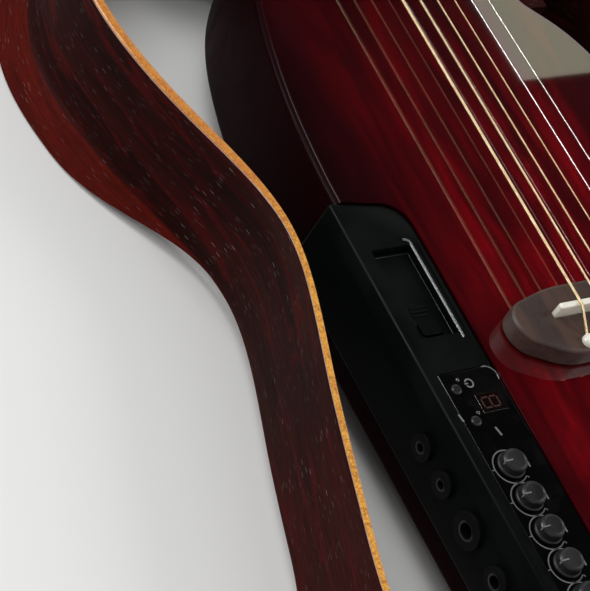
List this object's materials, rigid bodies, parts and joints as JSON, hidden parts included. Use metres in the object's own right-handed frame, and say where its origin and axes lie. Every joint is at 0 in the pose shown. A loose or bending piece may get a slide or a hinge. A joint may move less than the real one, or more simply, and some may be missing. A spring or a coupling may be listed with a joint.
{
  "type": "silent guitar",
  "caption": "Six-string silent guitar: slim solid body, two bent side frames, bolt-on controls and a 3+3 head.",
  "frame": {"origin": "on the flat back face of the body, on the centre line, straight under the saddle", "axes": "+Y to the head, +Z out of the string side, -X the bass side"},
  "size_m": [0.3438, 0.9963, 0.0936],
  "materials": {
    "crimson_gloss": "see-through crimson lacquer over mahogany, high gloss",
    "rosewood_ply": "bent rosewood with a flamed maple front edge, satin",
    "neck_wood": "mahogany, satin",
    "head_face": "dark gloss veneer",
    "dark_wood": "oiled rosewood",
    "bone": "polished bone substitute",
    "steel": "plain steel",
    "plain_string": "plain steel wire",
    "bronze_string": "bronze wound wire",
    "brass_strip": "brass foil strip",
    "housing_black": "fine satin black plastic",
    "panel_gloss": "gloss black",
    "display_red": "dark red window",
    "knob_black": "satin black",
    "board_green": "green circuit board",
    "battery_wrap": "printed sleeve, left bare",
    "jack_black": "black moulded socket",
    "chrome": "polished chrome"
  },
  "bodies": {
    "guitar": {"aux_jack": "jack_black", "back_cover": "housing_black", "battery_1": "battery_wrap", "battery_2": "battery_wrap", "battery_contact": "steel", "body_core": "crimson_gloss", "bridge": "dark_wood", "circuit_board": "board_green", "control_housing": "housing_black", "control_panel": "panel_gloss", "fingerboard": "dark_wood", "head_veneer": "head_face", "line_jack": "jack_black", "neck": "neck_wood", "nut": "bone", "phones_jack": "jack_black", "power_inlet": "jack_black", "saddle": "bone", "saddle_pickup": "brass_strip", "strap_pin_neck": "chrome", "strap_pin_tail": "chrome", "string_1": "plain_string", "string_2": "plain_string", "string_3": "bronze_string", "string_4": "bronze_string", "string_5": "bronze_string", "string_6": "bronze_string", "treble_frame": "rosewood_ply", "truss_cover": "housing_black", "truss_rod": "steel", "tuner_display": "display_red", "tuner_housing_1": "chrome", "tuner_housing_2": "chrome", "tuner_housing_3": "chrome", "tuner_housing_4": "chrome", "tuner_housing_5": "chrome", "tuner_housing_6": "chrome"},
    "key_1": {"tuner_key_1": "chrome"},
    "post_1": {"tuner_post_1": "chrome"},
    "key_2": {"tuner_key_2": "chrome"},
    "post_2": {"tuner_post_2": "chrome"},
    "key_3": {"tuner_key_3": "chrome"},
    "post_3": {"tuner_post_3": "chrome"},
    "key_4": {"tuner_key_4": "chrome"},
    "post_4": {"tuner_post_4": "chrome"},
    "key_5": {"tuner_key_5": "chrome"},
    "post_5": {"tuner_post_5": "chrome"},
    "key_6": {"tuner_key_6": "chrome"},
    "post_6": {"tuner_post_6": "chrome"},
    "volume_knob": {"volume_knob": "knob_black"},
    "treble_knob": {"treble_knob": "knob_black"},
    "bass_knob": {"bass_knob": "knob_black"},
    "effect_knob": {"effect_knob": "knob_black"},
    "blend_knob": {"blend_knob": "knob_black"},
    "power_button": {"power_button": "housing_black"},
    "tuner_button": {"tuner_button": "housing_black"},
    "battery_door": {"battery_door": "housing_black"},
    "bass_frame": {"bass_frame": "rosewood_ply"},
    "frame_lock_tail": {"frame_lock_tail": "chrome"},
    "frame_lock_neck": {"frame_lock_neck": "chrome"}
  },
  "joints": [
    {"name": "key_turn_1", "type": "hinge", "parent": "guitar", "child": "key_1", "pos_m": [0.046, 0.6772, 0.03637], "axis": [1, 0, 0], "continuous": true},
    {"name": "post_turn_1", "type": "hinge", "parent": "guitar", "child": "post_1", "pos_m": [0.021, 0.67617, 0.05621], "axis": [0, 0.2419, 0.9703], "continuous": true},
    {"name": "key_turn_2", "type": "hinge", "parent": "guitar", "child": "key_2", "pos_m": [0.046, 0.71407, 0.02718], "axis": [1, 0, 0], "continuous": true},
    {"name": "post_turn_2", "type": "hinge", "parent": "guitar", "child": "post_2", "pos_m": [0.021, 0.71304, 0.04701], "axis": [0, 0.2419, 0.9703], "continuous": true},
    {"name": "key_turn_3", "type": "hinge", "parent": "guitar", "child": "key_3", "pos_m": [0.046, 0.75094, 0.01798], "axis": [1, 0, 0], "continuous": true},
    {"name": "post_turn_3", "type": "hinge", "parent": "guitar", "child": "post_3", "pos_m": [0.021, 0.74991, 0.03782], "axis": [0, 0.2419, 0.9703], "continuous": true},
    {"name": "key_turn_4", "type": "hinge", "parent": "guitar", "child": "key_4", "pos_m": [-0.046, 0.75094, 0.01798], "axis": [-1, 0, 0], "continuous": true},
    {"name": "post_turn_4", "type": "hinge", "parent": "guitar", "child": "post_4", "pos_m": [-0.021, 0.74991, 0.03782], "axis": [0, 0.2419, 0.9703], "continuous": true},
    {"name": "key_turn_5", "type": "hinge", "parent": "guitar", "child": "key_5", "pos_m": [-0.046, 0.71407, 0.02718], "axis": [-1, 0, 0], "continuous": true},
    {"name": "post_turn_5", "type": "hinge", "parent": "guitar", "child": "post_5", "pos_m": [-0.021, 0.71304, 0.04701], "axis": [0, 0.2419, 0.9703], "continuous": true},
    {"name": "key_turn_6", "type": "hinge", "parent": "guitar", "child": "key_6", "pos_m": [-0.046, 0.6772, 0.03637], "axis": [-1, 0, 0], "continuous": true},
    {"name": "post_turn_6", "type": "hinge", "parent": "guitar", "child": "post_6", "pos_m": [-0.021, 0.67617, 0.05621], "axis": [0, 0.2419, 0.9703], "continuous": true},
    {"name": "volume_knob_turn", "type": "hinge", "parent": "guitar", "child": "volume_knob", "pos_m": [-0.088, -0.057, 0.06], "axis": [0, 0, -1], "range_deg": [-150, 150]},
    {"name": "treble_knob_turn", "type": "hinge", "parent": "guitar", "child": "treble_knob", "pos_m": [-0.088, -0.0725, 0.06], "axis": [0, 0, -1], "range_deg": [-150, 150]},
    {"name": "bass_knob_turn", "type": "hinge", "parent": "guitar", "child": "bass_knob", "pos_m": [-0.088, -0.088, 0.06], "axis": [0, 0, -1], "range_deg": [-150, 150]},
    {"name": "effect_knob_turn", "type": "hinge", "parent": "guitar", "child": "effect_knob", "pos_m": [-0.088, -0.1035, 0.06], "axis": [0, 0, -1], "range_deg": [-150, 150]},
    {"name": "blend_knob_turn", "type": "hinge", "parent": "guitar", "child": "blend_knob", "pos_m": [-0.088, -0.119, 0.06], "axis": [0, 0, -1], "range_deg": [-150, 150]},
    {"name": "power_button_press", "type": "slide", "parent": "guitar", "child": "power_button", "axis": [0, 0, -1], "range_m": [0, 0.0008], "stiffness_N_per_m": 400},
    {"name": "tuner_button_press", "type": "slide", "parent": "guitar", "child": "tuner_button", "axis": [0, 0, -1], "range_m": [0, 0.0008], "stiffness_N_per_m": 400},
    {"name": "battery_door_hinge", "type": "hinge", "parent": "guitar", "child": "battery_door", "pos_m": [-0.0856, 0.05, 0.0529], "axis": [-1, 0, 0], "range_deg": [0, 95]},
    {"name": "bass_frame_slide", "type": "slide", "parent": "guitar", "child": "bass_frame", "axis": [-1, 0, 0], "range_m": [0, 0.06]},
    {"name": "frame_lock_tail_turn", "type": "hinge", "parent": "bass_frame", "child": "frame_lock_tail", "pos_m": [-0.06, -0.1786, 0.024], "axis": [-1, 0, 0], "continuous": true},
    {"name": "frame_lock_neck_turn", "type": "hinge", "parent": "bass_frame", "child": "frame_lock_neck", "pos_m": [-0.045, 0.2646, 0.024], "axis": [-1, 0, 0], "continuous": true}
  ],
  "couplings": [
    {"joint": "post_turn_1", "follows": "key_turn_1", "ratio": 0.066667},
    {"joint": "post_turn_2", "follows": "key_turn_2", "ratio": 0.066667},
    {"joint": "post_turn_3", "follows": "key_turn_3", "ratio": 0.066667},
    {"joint": "post_turn_4", "follows": "key_turn_4", "ratio": 0.066667},
    {"joint": "post_turn_5", "follows": "key_turn_5", "ratio": 0.066667},
    {"joint": "post_turn_6", "follows": "key_turn_6", "ratio": 0.066667}
  ]
}
